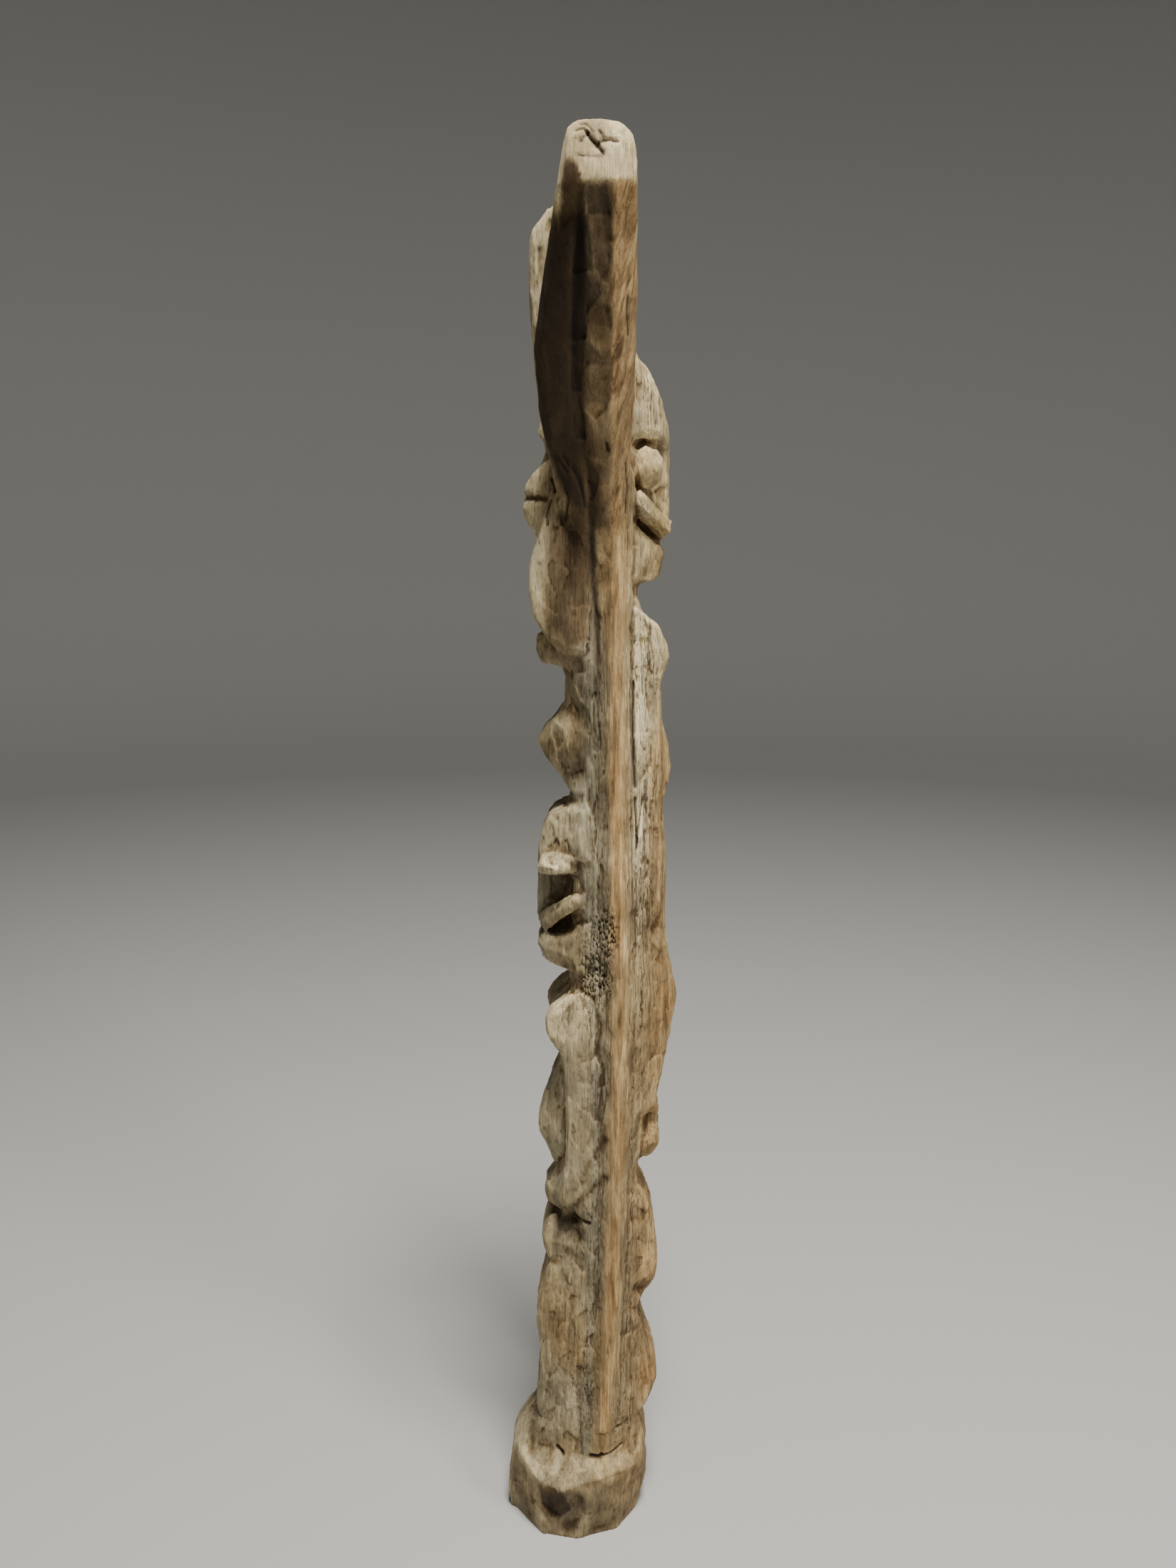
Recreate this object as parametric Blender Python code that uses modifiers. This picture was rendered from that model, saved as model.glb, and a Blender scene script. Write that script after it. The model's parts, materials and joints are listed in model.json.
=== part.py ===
"""A pillar carved from one slender log, with figures back to back down its two sides.

X runs to the right across the two rows of figures, Y away from the viewer, Z up. The
underside of the foot lies on Z = 0, with the middle of the foot over the origin.
"""

import math

import bmesh
import bpy
from mathutils import Matrix, Vector

# Driving sizes, in metres
HEIGHT = 0.600  # from the underside to the top of the prow
FOOT_WIDTH = 0.068  # across the rough foot, along X
FOOT_DEPTH = 0.063  # across the foot, along Y
FOOT_EDGE = 0.026  # height of the foot's upright edge
PROW_REACH = 0.075  # how far the prow's end stands out from the log's middle
RIDGE_WIDTH = 0.011  # the smooth ridge down the viewer's side
RIDGE_STAND = 0.0285  # how far the ridge's crest lies from the log's middle

# The carving is laid out on a figure 600 units high, so one unit is a millimetre at full size
UNIT = HEIGHT / 600
GRAIN_CELL = 1.5 * UNIT  # finest step kept when the forms are worked into one solid
KEPT_SHARE = 0.067  # share of those small faces that the finished solid keeps
SAW_ALLOWANCE = 6 * UNIT  # wood left under the foot before it is sawn flat


def clear_scene():
    for thing in list(bpy.data.objects):
        bpy.data.objects.remove(thing, do_unlink=True)


def finish_mesh(bm, name, collection):
    """Turns a finished bmesh into an object of the collection."""
    bmesh.ops.recalc_face_normals(bm, faces=bm.faces)
    mesh = bpy.data.meshes.new(name)
    bm.to_mesh(mesh)
    bm.free()
    made = bpy.data.objects.new(name, mesh)
    collection.objects.link(made)
    return made


def loft(bm, sections):
    """Skins a stack of closed sections, each a list of as many points, and caps both ends."""
    rings = [[bm.verts.new(point) for point in section] for section in sections]
    for low, high in zip(rings, rings[1:]):
        for here, near in zip(range(len(low)), list(range(1, len(low))) + [0]):
            bm.faces.new((low[here], low[near], high[near], high[here]))
    bm.faces.new(rings[0][::-1])
    bm.faces.new(rings[-1])


def rounded_section(z, left, right, front, back, squareness=2.5, sides=28):
    """A section of the log at height z: an ellipse swollen a little towards its corners."""
    middle_x, middle_y = (left + right) / 2, (front + back) / 2
    points = []
    for step in range(sides):
        angle = math.tau * step / sides
        east, north = math.cos(angle), math.sin(angle)
        out_x = math.copysign(abs(east) ** (2 / squareness), east) * (right - left) / 2
        out_y = math.copysign(abs(north) ** (2 / squareness), north) * (back - front) / 2
        points.append(Vector((middle_x + out_x, middle_y + out_y, z)) * UNIT)
    return points


def slab(bm, outline, inner, outer, middle_y=0.0, softness=1.6):
    """A form hewn flat on both flanks.

    The outline is its side view, as (x, z) points. inner and outer are (x, half thickness)
    at the log and at the front of the form, and the flanks run straight between them.
    """
    (x_in, half_in), (x_out, half_out) = inner, outer

    def half(x):
        return half_in + (half_out - half_in) * (x - x_in) / (x_out - x_in)

    flanks = []
    for way in (-1, 1):
        points = [Vector((x, middle_y + way * half(x), z)) * UNIT for x, z in outline]
        flanks.append([bm.verts.new(point) for point in points])
    near, far = flanks
    made = [bm.faces.new(near), bm.faces.new(far[::-1])]
    for here in range(len(near)):
        after = (here + 1) % len(near)
        made.append(bm.faces.new((near[after], near[here], far[here], far[after])))
    if softness:
        rim = {edge for face in made[:2] for edge in face.edges}
        bmesh.ops.bevel(
            bm, geom=list(rim), offset=softness * UNIT, segments=2, affect="EDGES",
            profile=0.5, clamp_overlap=True,
        )


def both_flanks(bm, outline, inner, outer, middle_y, softness=1.2):
    """The same form on the viewer's flank and on the far flank."""
    for way in (-1, 1):
        slab(bm, outline, inner, outer, way * middle_y, softness)


def boss(bm, centre, radii, turn=0.0):
    """A rounded lump, turned about Y by some degrees."""
    place = (
        Matrix.Translation(Vector(centre) * UNIT)
        @ Matrix.Rotation(math.radians(turn), 4, "Y")
        @ Matrix.Diagonal((*(Vector(radii) * UNIT), 1.0))
    )
    bmesh.ops.create_icosphere(bm, subdivisions=2, radius=1.0, matrix=place)


def both_bosses(bm, centre, radii, turn=0.0):
    x, y, z = centre
    for way in (-1, 1):
        boss(bm, (x, way * y, z), radii, turn)


def bar(bm, start, end, width, thickness, softness=0.8):
    """A square-edged bar from start to end; width is up and down, thickness along Y."""
    a, b = Vector(start) * UNIT, Vector(end) * UNIT
    along = (b - a).normalized()
    across = along.cross(Vector((0, 1, 0))).normalized()
    depth = along.cross(across)
    place = Matrix(
        (
            (*(along * (b - a).length),),
            (*(across * width * UNIT),),
            (*(depth * thickness * UNIT),),
        )
    ).transposed().to_4x4()
    place.translation = (a + b) / 2
    made = bmesh.ops.create_cube(bm, size=1.0, matrix=place)
    rim = {edge for vert in made["verts"] for edge in vert.link_edges}
    bmesh.ops.bevel(
        bm, geom=list(rim), offset=softness * UNIT, segments=1, affect="EDGES", profile=0.5
    )


def both_bars(bm, start, end, width, thickness):
    for way in (-1, 1):
        bar(
            bm, (start[0], way * start[1], start[2]), (end[0], way * end[1], end[2]),
            width, thickness,
        )


def carve_log(bm):
    """The bowed log between the figures: (height, left, right, front, back) of its sections."""
    sections = [
        (-6, -17, 27, -22, 22),
        (40, -18, 29, -24, 24),
        (52, -18, 29, -24.5, 24),
        (80, -16, 29, -24.5, 23),
        (109, -13, 26.5, -24, 22),
        (150, -8, 27.5, -23.5, 22),
        (174, -8, 27, -23.5, 22),
        (208, -6, 31, -23.5, 22),
        (262, -4, 36, -24, 22),
        (300, -3, 33, -24, 22),
        (352, -3.5, 34, -24, 22),
        (392, -5.5, 34, -24, 22),
        (410, -6, 32, -24, 22),
        (438, -7, 25, -24, 22),
        (470, -7, 24, -25, 22),
        (505, -9, 24, -26, 22),
        (545, -10, 23.5, -26, 21),
        (578, -9, 22, -24, 19),
        (590, -4, 18, -18, 17.5),
    ]
    loft(bm, [rounded_section(*section) for section in sections])


def carve_prow(bm):
    """The top of the log leans out towards the viewer and ends in a blunt prow.

    Each section is (height, left, right, front, groove, room, dip, back): the front is hewn
    into a plane to the left, a groove, a middle facet and a chamfer to the right. room is how
    far the chamfers run back, and dip how deep the groove lies.
    """
    end = -PROW_REACH / UNIT
    sections = [
        (446, 5, 20, -25, 7, 6, 0.5, 16),
        (470, -6, 20.5, -34, 6, 10, 1.5, 16),
        (492, -12, 21, -41.5, 4.5, 14, 2.5, 16),
        (508, -15.5, 21.8, -47.5, 4, 15, 3, 16),
        (530, -17, 22.4, -56, 3, 16, 3, 16),
        (552, -13, 22.4, -64.5, 2, 15, 3, 16),
        (571, -9, 22, end + 3, 2, 12, 2.5, 16),
        (578, -7, 21.6, end, 2.5, 4, 0.5, 16),
        (588, -5, 21, end - 0.3, 2.5, 4, 0, 15),
        (595, -4, 20, end + 0.6, 2.5, 4, 0, 2),
        (598.6, -2.5, 17, end + 2.5, 3.5, 4, 0, -30),
        (600, 0, 14, end + 6, 5, 3, 0, -52),
    ]
    rings = []
    for z, left, right, front, groove, room, dip, back in sections:
        beside = max(left, -9.5)
        rings.append(
            [
                Vector(point + (z,)) * UNIT
                for point in (
                    (beside + 5, back),
                    (beside, back - 7),
                    (beside, min(front + room + 14, back - 8)),
                    (left, front + room),
                    (left + 3, front + room * 0.55),
                    (groove - 2.5, front + dip + 0.5),
                    (groove, front + dip * 1.8),
                    (groove + 2.2, front + dip * 0.3),
                    (right - 8, front),
                    (right - 0.5, front + room * 0.6),
                    (right, front + room * 0.6 + 2),
                    (right, back - 7),
                    (right - 4, back),
                )
            ]
        )
    loft(bm, rings)


def carve_ridge(collection):
    """The smooth ridge down the viewer's side, a swept bead sunk halfway into the log."""
    crest = [(18, 486), (17, 450), (16, 400), (16.5, 340), (18, 270), (17, 180), (14.5, 110), (11, 50), (10.5, 34)]
    path = bpy.data.curves.new("ridge_path", "CURVE")
    path.dimensions = "3D"
    path.resolution_u = 4
    path.bevel_depth = RIDGE_WIDTH / 2
    path.bevel_resolution = 3
    path.use_fill_caps = True
    line = path.splines.new("NURBS")
    line.points.add(len(crest) - 1)
    middle = -(RIDGE_STAND - RIDGE_WIDTH / 2)
    for point, (x, z) in zip(line.points, crest):
        point.co = (x * UNIT, middle, z * UNIT, 1.0)
    line.use_endpoint_u = True
    line.order_u = 3
    ridge = bpy.data.objects.new("ridge_path", path)
    collection.objects.link(ridge)
    return ridge


def carve_foot(bm):
    """The rough foot: a thick round end of the log, tapered above its upright edge."""
    half_x, half_y = FOOT_WIDTH / 2 / UNIT, FOOT_DEPTH / 2 / UNIT
    edge = FOOT_EDGE / UNIT
    under = -SAW_ALLOWANCE / UNIT
    sections = [
        (under, -half_x + 1, half_x - 8, -half_y + 1, half_y - 3, 2.0),
        (0, -half_x, half_x - 6, -half_y, half_y - 2, 2.0),
        (edge * 0.3, -half_x - 0.3, half_x - 3, -half_y, half_y - 1, 2.1),
        (edge * 0.65, -half_x, half_x - 1.2, -half_y, half_y, 2.3),
        (edge, -half_x + 0.7, half_x - 0.6, -half_y + 1, half_y - 0.5, 2.4),
        (edge + 10, -half_x + 2.8, half_x - 1.2, -half_y + 4, half_y - 3, 2.3),
        (edge + 18, -half_x + 7, half_x - 2.6, -half_y + 7, half_y - 6, 2.3),
        (edge + 24, -half_x + 12.5, half_x - 4.6, -half_y + 8, half_y - 8, 2.3),
        (edge + 33, -half_x + 15, half_x - 5, -half_y + 8, half_y - 8, 2.3),
    ]
    loft(bm, [rounded_section(*section) for section in sections])


def carve_upper_left(bm):
    """The tall head, bent arm and knee of the upper figure on the left."""
    slab(
        bm,
        [(4, 591), (-8, 590), (-14, 586), (-18, 581), (-19.6, 573), (-19.4, 556), (-18.4, 538),
         (-14, 538), (4, 536)],
        (0, 19), (-19.5, 9), softness=3,
    )
    slab(
        bm,
        [(4, 542), (-18.4, 542), (-17.6, 528), (-15.2, 510), (-13.3, 497), (-14.5, 490),
         (4, 488)],
        (0, 8), (-18, 5), softness=1.5,
    )
    both_bosses(bm, (-10.5, 12, 527), (6.5, 6.5, 7.5), turn=-8)
    both_bars(bm, (-4, 19, 520), (-14.2, 5, 502), 5.5, 9)
    slab(
        bm,
        [(4, 496), (-12.5, 490.5), (-18, 487), (-22, 481.5), (-22.6, 478), (-20.8, 476.3), (4, 476.5)],
        (0, 20), (-22, 7), softness=2,
    )
    slab(
        bm,
        [(4, 478), (-20.8, 476.8), (-23.2, 473.5), (-23.2, 469.5), (-20.5, 465), (-16, 463), (4, 463)],
        (0, 20), (-22, 7), softness=2,
    )
    slab(
        bm,
        [(4, 466), (-18, 466), (-18.4, 462), (-15.6, 457), (-8, 453), (4, 453)],
        (0, 17), (-18, 8), softness=1.5,
    )
    both_flanks(
        bm,
        [(-8, 484), (-13.5, 470), (-17.5, 456), (-20.2, 447), (-20.2, 438), (-17.8, 427),
         (-12.5, 418), (-5, 411.5), (2.5, 410.5), (3.5, 430), (3, 455), (0, 484)],
        (2, 5.5), (-20, 3), 18.5, softness=2.2,
    )
    slab(
        bm,
        [(4, 421), (-17.2, 421), (-17.6, 412.5), (-15, 408), (4, 406.5)],
        (0, 20), (-17, 12), softness=1,
    )
    slab(
        bm,
        [(4, 396), (-6, 390), (-10.5, 384), (-15.2, 379), (-17.9, 374.5), (-17.2, 371.4),
         (-13.8, 366.6), (-8, 360.5), (-3.5, 354), (4, 350)],
        (0, 19), (-17.8, 3.5), softness=1,
    )


def carve_lower_left(bm):
    """Head, shoulders, arms, belly, thighs and legs of the lower figure on the left."""
    slab(
        bm,
        [(4, 348), (-4, 346.5), (-10.5, 344.5), (-13.6, 340.5), (-16, 333), (-17.5, 325),
         (-17.6, 321), (-10, 323), (4, 324)],
        (0, 21.5), (-17.5, 8), softness=2,
    )
    slab(bm, [(4, 330), (-17.5, 328), (-18, 305), (-18.2, 292), (4, 286)], (0, 5.5), (-18, 3.4), softness=1)
    both_bosses(bm, (-9, 13.5, 320.2), (8.4, 6.8, 6.2), turn=-4)
    both_bars(bm, (1, 20.5, 308), (-15.5, 5.5, 292), 5.2, 7)
    slab(
        bm,
        [(4, 296), (-3, 291), (-10, 287.4), (-17.6, 288), (-18.4, 284), (-16.5, 282.4), (-11, 281.6),
         (-16.6, 280.4), (-15.8, 277.2), (-12, 274.8), (-5, 273.4), (4, 272)],
        (0, 20), (-18, 9), softness=1.4,
    )
    both_flanks(
        bm,
        [(4, 266), (-1, 264), (-7, 261.5), (-12, 257.5), (-14.6, 252.5), (-14.2, 247),
         (-11, 241), (-6, 234.5), (3, 228)],
        (3, 7), (-15, 5), 16.5, softness=2.5,
    )
    slab(
        bm,
        [(4, 260), (-8, 258.5), (-12, 254.5), (-13.5, 247), (-10, 238), (-7, 229), (4, 226)],
        (0, 16), (-14, 12), softness=2,
    )
    both_flanks(
        bm,
        [(8, 262), (-4, 250), (-6.5, 236), (-5.5, 215), (-5, 190), (-8.5, 172), (-10, 163.5),
         (-3, 164), (8, 176)],
        (8, 8), (-9, 5.5), 16.5, softness=2,
    )
    slab(
        bm,
        [(4, 236), (-6, 232), (-11, 224), (-15, 211.5), (-19.2, 196.5), (-18.2, 191.5),
         (-13.8, 183), (-10.8, 174.5), (-9, 168), (4, 166)],
        (0, 14), (-19, 5), softness=1,
    )
    slab(bm, [(4, 174), (-10, 173), (-15.2, 168), (-15.6, 164), (-13.6, 158), (4, 156)], (0, 12), (-15, 9))
    slab(
        bm,
        [(4, 154), (-13, 153), (-15.6, 149), (-17, 143.5), (-16.4, 139), (-14.4, 134.5), (4, 133)],
        (0, 21), (-17, 12), softness=2,
    )
    slab(
        bm,
        [(4, 136), (-14.2, 131), (-16, 122), (-18.4, 113), (-19.7, 104), (-19.1, 96), (-17.7, 88),
         (-17.6, 80), (-19.2, 70), (-20, 58), (-20, 30), (4, 30)],
        (0, 22.5), (-20, 14.5), softness=2.5,
    )


def carve_upper_right(bm):
    """Head, shoulders, long arms and belly of the upper figure on the right."""
    slab(
        bm,
        [(12, 535), (22, 532.5), (28, 528.5), (32, 522), (34.6, 514.5), (37.2, 506), (38.2, 499.5),
         (30, 499.5), (12, 500)],
        (20, 19.5), (38, 6.5), softness=2,
    )
    slab(
        bm,
        [(12, 503), (38.2, 503), (38.4, 470), (37.8, 460.5), (33, 459.5), (12, 462)],
        (20, 6), (38, 3), softness=1,
    )
    both_bosses(bm, (28.2, 13.4, 487.5), (6.6, 6.6, 8.2), turn=6)
    both_bars(bm, (20.5, 20, 477.5), (36.4, 4.5, 461.5), 5.4, 7)
    slab(
        bm,
        [(12, 470), (21, 467), (29, 460), (35.4, 456), (36.6, 453), (35, 450.6), (35.4, 447),
         (33.8, 443), (28, 441.8), (24, 443), (12, 445)],
        (20, 18), (37, 8), softness=1.2,
    )
    both_flanks(
        bm,
        [(14, 440), (21, 433), (28, 428.5), (34, 423.5), (37.4, 416.5), (38.4, 411), (37.4, 405.5),
         (34.6, 400.5), (14, 396)],
        (18, 8), (38, 4.5), 13.5, softness=2.5,
    )
    both_flanks(
        bm,
        [(14, 408), (34.8, 404), (35.2, 385), (35.6, 350), (36.4, 322), (35.6, 300), (31, 294),
         (14, 290)],
        (18, 8.5), (36, 5), 12, softness=1.8,
    )
    slab(
        bm,
        [(12, 426), (34, 420), (36, 410), (35, 400), (35, 386), (37.4, 377.5), (39.6, 370),
         (40.2, 361), (38.6, 354), (36.6, 348.5), (37.4, 337), (38.6, 326), (38.6, 288), (12, 284)],
        (20, 12), (40, 8), softness=1.5,
    )


def carve_lower_right(bm):
    """Hip, tapering leg, knob, crouched form and calf below it on the right."""
    slab(
        bm,
        [(12, 300), (32, 296), (38.8, 288), (40.2, 277), (43, 265), (44.2, 257.5), (42.8, 251),
         (40.2, 237), (36.8, 220), (34.4, 206), (12, 200)],
        (20, 20), (44, 7), softness=2.2,
    )
    both_bosses(bm, (33.5, 4, 204), (4, 6, 5))
    both_bosses(bm, (31.5, 6, 191), (6, 8, 9.5), turn=14)
    slab(
        bm,
        [(12, 172), (27, 170), (31, 164.5), (33.6, 156), (35.4, 144), (36.7, 131.5), (36.2, 124.5),
         (34.8, 117), (28, 111.5), (12, 108)],
        (20, 18.5), (37, 8), softness=1.8,
    )
    slab(
        bm,
        [(12, 116), (26.5, 109), (28.5, 102), (31, 93), (34.6, 84), (36.6, 76), (36.8, 70),
         (35.2, 63), (31, 56), (12, 50)],
        (20, 20), (37, 9), softness=2,
    )


def cut_recesses(bm):
    """Hollows that the knife left: under the prow, beside the ridge and under the forearm."""
    bar(bm, (4.5, -28, 488), (6.5, -28, 412), 3, 9, softness=0.5)
    bar(bm, (8.5, -28, 405), (9.8, -28.5, 60), 2.4, 8.5, softness=0.5)
    bar(bm, (24.5, -27.5, 470), (24, -26.5, 280), 2, 7, softness=0.4)
    slab(
        bm, [(-17, 163.5), (1, 158.5), (2, 155.5), (-6, 151.5), (-17, 152)],
        (2, 6), (-17, 8), middle_y=-19, softness=0,
    )
    slab(
        bm, [(-17, 163.5), (1, 158.5), (2, 155.5), (-6, 151.5), (-17, 152)],
        (2, 6), (-17, 8), middle_y=19, softness=0,
    )


def cut_foot_facets(bm):
    """Knife cuts round the foot, and the deep scoop in its front.

    Each cut is a block against the edge it takes off: (bearing from the viewer's side in
    degrees, distance from the middle, height, lean in degrees, width).
    """
    for bearing, distance, height, lean, wide in (
        (-52, 30.3, 12, 5, 26),
        (-14, 29.3, 8, 9, 20),
        (22, 28.6, 14, 7, 27),
        (58, 29.6, 12, 9, 24),
        (-14, 28.5, 32, -44, 30),
        (32, 29, 36, -42, 26),
        (-72, 30.5, 42, -46, 26),
        (-100, 32.2, 14, -4, 28),
        (100, 31.4, 20, -6, 26),
    ):
        place = (
            Matrix.Rotation(math.radians(bearing), 4, "Z")
            @ Matrix.Translation(Vector((0, -distance, height)) * UNIT)
            @ Matrix.Rotation(math.radians(lean), 4, "X")
            @ Matrix.Translation((0, -6 * UNIT, 0))
            @ Matrix.Diagonal((wide * UNIT, 12 * UNIT, 30 * UNIT, 1.0))
        )
        bmesh.ops.create_cube(bm, size=1.0, matrix=place)
    boss(bm, (-9.5, -36.5, 19), (8, 9, 9.5), turn=20)


def wood(name, colour, roughness):
    """Dry pale wood."""
    material = bpy.data.materials.new(name)
    material.use_nodes = True
    shader = material.node_tree.nodes["Principled BSDF"]
    shader.inputs["Base Color"].default_value = (*colour, 1.0)
    shader.inputs["Roughness"].default_value = roughness
    shader.inputs["Metallic"].default_value = 0.0
    return material


def cut_away(target, cutter, name):
    cut = target.modifiers.new(name, "BOOLEAN")
    cut.operation = "DIFFERENCE"
    cut.solver = "EXACT"
    cut.use_self = True
    cut.object = cutter


def work_smooth(target, cell):
    """Melts the overlapping forms into one closed skin."""
    skin = target.modifiers.new("one skin", "REMESH")
    skin.mode = "VOXEL"
    skin.voxel_size = cell
    skin.use_smooth_shade = True


def build():
    clear_scene()
    scene = bpy.context.scene
    pillar_parts = bpy.data.collections.new("carved wooden pillar")
    cutters = bpy.data.collections.new("cutters")
    scene.collection.children.link(pillar_parts)
    scene.collection.children.link(cutters)
    cutters.hide_render = True

    forms = bmesh.new()
    carve_log(forms)
    carve_prow(forms)
    carve_foot(forms)
    carve_upper_left(forms)
    carve_lower_left(forms)
    carve_upper_right(forms)
    carve_lower_right(forms)
    pillar = finish_mesh(forms, "carved_pillar", pillar_parts)
    pillar.data.materials.append(wood("dry pale wood", (0.52, 0.40, 0.26), 0.75))

    # The ridge is swept as a curve, then joined to the other forms as a mesh
    ridge_curve = carve_ridge(pillar_parts)
    bpy.context.view_layer.update()
    swept = bpy.data.meshes.new_from_object(
        ridge_curve.evaluated_get(bpy.context.evaluated_depsgraph_get())
    )
    bpy.data.objects.remove(ridge_curve, do_unlink=True)
    joined = bmesh.new()
    joined.from_mesh(pillar.data)
    joined.from_mesh(swept)
    bmesh.ops.recalc_face_normals(joined, faces=joined.faces)
    joined.to_mesh(pillar.data)
    joined.free()

    hollows = bmesh.new()
    cut_recesses(hollows)
    cut_foot_facets(hollows)
    hollow = finish_mesh(hollows, "hollows", cutters)
    ground = bmesh.new()
    deep = 40 * UNIT
    bmesh.ops.create_cube(
        ground, size=1.0,
        matrix=Matrix.Translation((0, 0, -deep / 2)) @ Matrix.Diagonal((0.3, 0.3, deep, 1.0)),
    )
    saw = finish_mesh(ground, "saw_cut", cutters)
    for cutter in (hollow, saw):
        cutter.display_type = "WIRE"
        cutter.hide_render = True

    work_smooth(pillar, GRAIN_CELL)
    cut_away(pillar, hollow, "hollows")
    work_smooth(pillar, GRAIN_CELL)
    fewer = pillar.modifiers.new("fewer faces", "DECIMATE")
    fewer.ratio = KEPT_SHARE
    cut_away(pillar, saw, "sawn flat underneath")


build()
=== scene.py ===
"""The looks of the carved wooden pillar: knife marks, grain, cracks, weathering and colour.

Metres, +Z up. The viewer looks along +Y; the two rows of figures face left and right along X.
The marks on the log are laid out in millimetres, as (x, y, z) or as (x, z) seen by the viewer.
"""

import json
import math

import bpy
import numpy as np
from mathutils import Matrix, Vector, kdtree, noise

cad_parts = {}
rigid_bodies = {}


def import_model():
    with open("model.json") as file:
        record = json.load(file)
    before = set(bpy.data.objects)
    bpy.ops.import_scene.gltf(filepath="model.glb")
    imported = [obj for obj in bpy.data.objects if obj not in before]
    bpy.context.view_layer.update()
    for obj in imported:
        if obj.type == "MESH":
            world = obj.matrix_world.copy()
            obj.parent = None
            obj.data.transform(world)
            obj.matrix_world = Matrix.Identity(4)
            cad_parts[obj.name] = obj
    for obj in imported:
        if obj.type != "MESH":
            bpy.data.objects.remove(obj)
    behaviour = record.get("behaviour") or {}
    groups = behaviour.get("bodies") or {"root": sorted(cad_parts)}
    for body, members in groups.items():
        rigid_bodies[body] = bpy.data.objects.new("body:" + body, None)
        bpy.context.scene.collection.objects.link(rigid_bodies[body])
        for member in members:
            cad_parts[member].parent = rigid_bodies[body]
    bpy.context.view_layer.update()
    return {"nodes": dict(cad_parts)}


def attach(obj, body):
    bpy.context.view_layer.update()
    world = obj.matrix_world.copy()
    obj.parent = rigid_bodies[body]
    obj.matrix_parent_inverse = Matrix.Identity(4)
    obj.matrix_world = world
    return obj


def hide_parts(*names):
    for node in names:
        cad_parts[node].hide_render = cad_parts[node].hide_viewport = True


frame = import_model()


# The log. One dry, pale branch about 55 mm thick, slightly bowed. Its skin was hewn with a knife
# down to the figures, the ridge and the prow, so it is one solid piece from foot to top.
MM = 0.001
WELD = 0.00001  # points of the plain log closer than this are one point
SKIN_CELL = 0.58 * MM  # step of the carved skin across the grain
ALONG_GRAIN = 0.7  # the log is squeezed to this share of its height while the skin is laid


def pick(*things):
    """Selects these things alone, and makes the last one active."""
    for thing in bpy.data.objects:
        thing.select_set(thing in things)
    bpy.context.view_layer.objects.active = things[-1]


def reshape(piece, kind, **settings):
    """Applies one modifier with these settings."""
    modifier = piece.modifiers.new(kind.lower(), kind)
    for name, value in settings.items():
        setattr(modifier, name, value)
    bpy.context.view_layer.objects.active = piece
    bpy.ops.object.modifier_apply(modifier=modifier.name)


def stretch(piece, share):
    """Scales the mesh along the grain about the ground."""
    for vertex in piece.data.vertices:
        vertex.co.z *= share


log_node = frame["nodes"]["carved_pillar"]
pillar = log_node.copy()
pillar.data = log_node.data.copy()
pillar.name = "pillar_wood"
pillar.data.name = "pillar_wood"
pillar.data.materials.clear()
pillar.parent = None
bpy.context.scene.collection.objects.link(pillar)
pick(pillar)
bpy.ops.object.mode_set(mode="EDIT")
bpy.ops.mesh.select_all(action="SELECT")
bpy.ops.mesh.remove_doubles(threshold=WELD)
bpy.ops.object.mode_set(mode="OBJECT")


# The faces' raised parts: planks for nose and lips and blunt facetted eyes, cut crisply with the
# point of the knife. They are part of the log, and the skin below is drawn over them.
def plank(start, end, width, thickness, roll, taper=1.0):
    """A straight bar with sharp edges from one point to another, in millimetres."""
    start, end = Vector(start) * MM, Vector(end) * MM
    run = end - start
    bpy.ops.mesh.primitive_cube_add(size=1)
    bar = bpy.context.object
    for vertex in bar.data.vertices:
        vertex.co.xy *= taper if vertex.co.z < 0 else 1
    size = Matrix.Diagonal((thickness * MM, width * MM, run.length, 1))
    turn = run.to_track_quat("Z", "X").to_matrix().to_4x4() @ Matrix.Rotation(roll, 4, "Z")
    bar.data.transform(Matrix.Translation((start + end) / 2) @ turn @ size)
    return bar


def eye(middle, radii, seed):
    """A blunt facetted ball, as a knife leaves it."""
    bpy.ops.mesh.primitive_ico_sphere_add(subdivisions=2, radius=1)
    ball = bpy.context.object
    for vertex in ball.data.vertices:
        lump = noise.noise(vertex.co * 2.3 + Vector((seed, 0, 0)))
        vertex.co *= 1 + 0.09 * lump
    place = Matrix.Translation(Vector(middle) * MM)
    ball.data.transform(place @ Matrix.Diagonal((*(r * MM for r in radii), 1)))
    return ball


raised = []
for side in (-1, 1):
    raised += [
        eye((28.3, 13.3 * side, 487.6), (7.1, 7.0, 8.8), 1 + side),
        plank((22.5, 18.4 * side, 475.6), (37.0, 5.6 * side, 463.4), 6.2, 6.6, 0.25 * side),
        eye((-9.2, 13.2 * side, 320.6), (8.9, 7.2, 6.6), 3 + side),
        plank((-1.8, 17.4 * side, 306.1), (-15.6, 6.2 * side, 294.2), 5.8, 6.8, -0.2 * side, 0.75),
    ]
pick(*raised, pillar)
bpy.ops.object.join()

stretch(pillar, ALONG_GRAIN)
reshape(pillar, "REMESH", mode="VOXEL", voxel_size=SKIN_CELL)
stretch(pillar, 1 / ALONG_GRAIN)
reshape(pillar, "SMOOTH", factor=0.5, iterations=2)


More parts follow.
